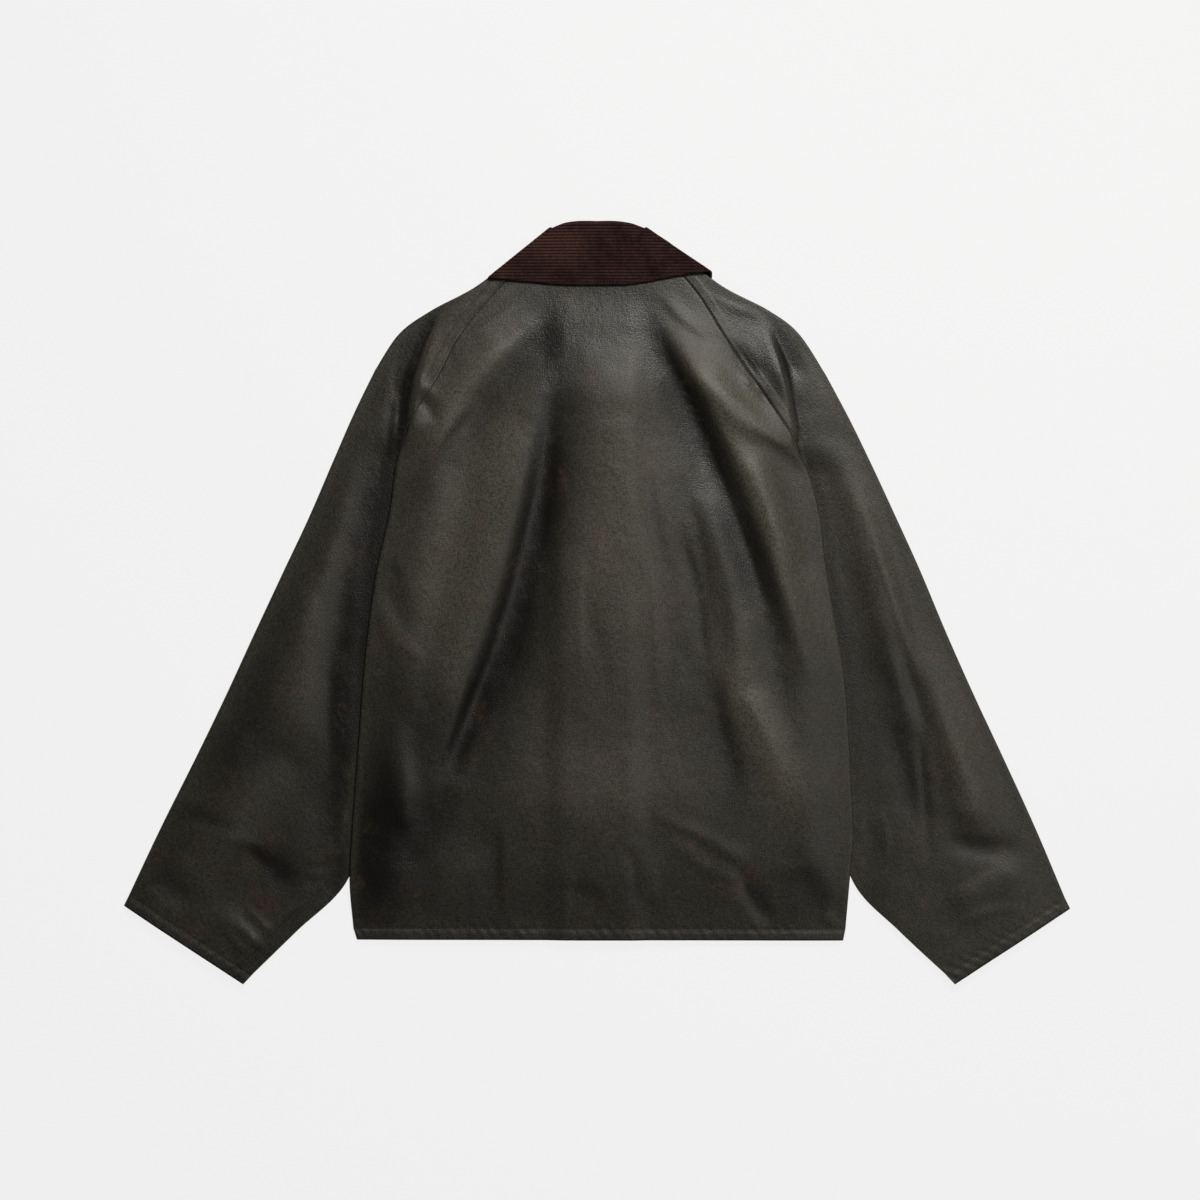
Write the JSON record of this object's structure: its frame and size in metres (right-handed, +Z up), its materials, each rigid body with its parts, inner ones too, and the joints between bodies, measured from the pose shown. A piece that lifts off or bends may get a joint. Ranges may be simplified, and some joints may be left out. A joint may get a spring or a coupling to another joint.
{
  "type": "waxed cotton jacket",
  "caption": "Short raglan jacket of waxed cotton with a corduroy collar, laid flat on its front, sleeves angled down, shut with press studs.",
  "frame": {"origin": "on the surface that the jacket lies on, under the middle of its outline", "axes": "+X towards the wearer's right cuff, +Y from the hem to the collar, +Z up, off the surface, out of the back"},
  "size_m": [0.948, 0.763, 0.0267],
  "materials": {
    "waxed_cotton": "dark olive grey waxed cotton with a soft sheen",
    "corduroy": "dark brown cotton corduroy, matt, with fine wales",
    "stud": "aged brass, satin"
  },
  "bodies": {
    "root": {"back": "waxed_cotton", "front_left": "waxed_cotton", "front_right": "waxed_cotton", "sleeve_left": "waxed_cotton", "sleeve_right": "waxed_cotton", "collar": "corduroy", "stud_1": "stud", "stud_2": "stud", "stud_3": "stud", "stud_4": "stud", "stud_5": "stud", "stud_6": "stud"}
  },
  "joints": []
}
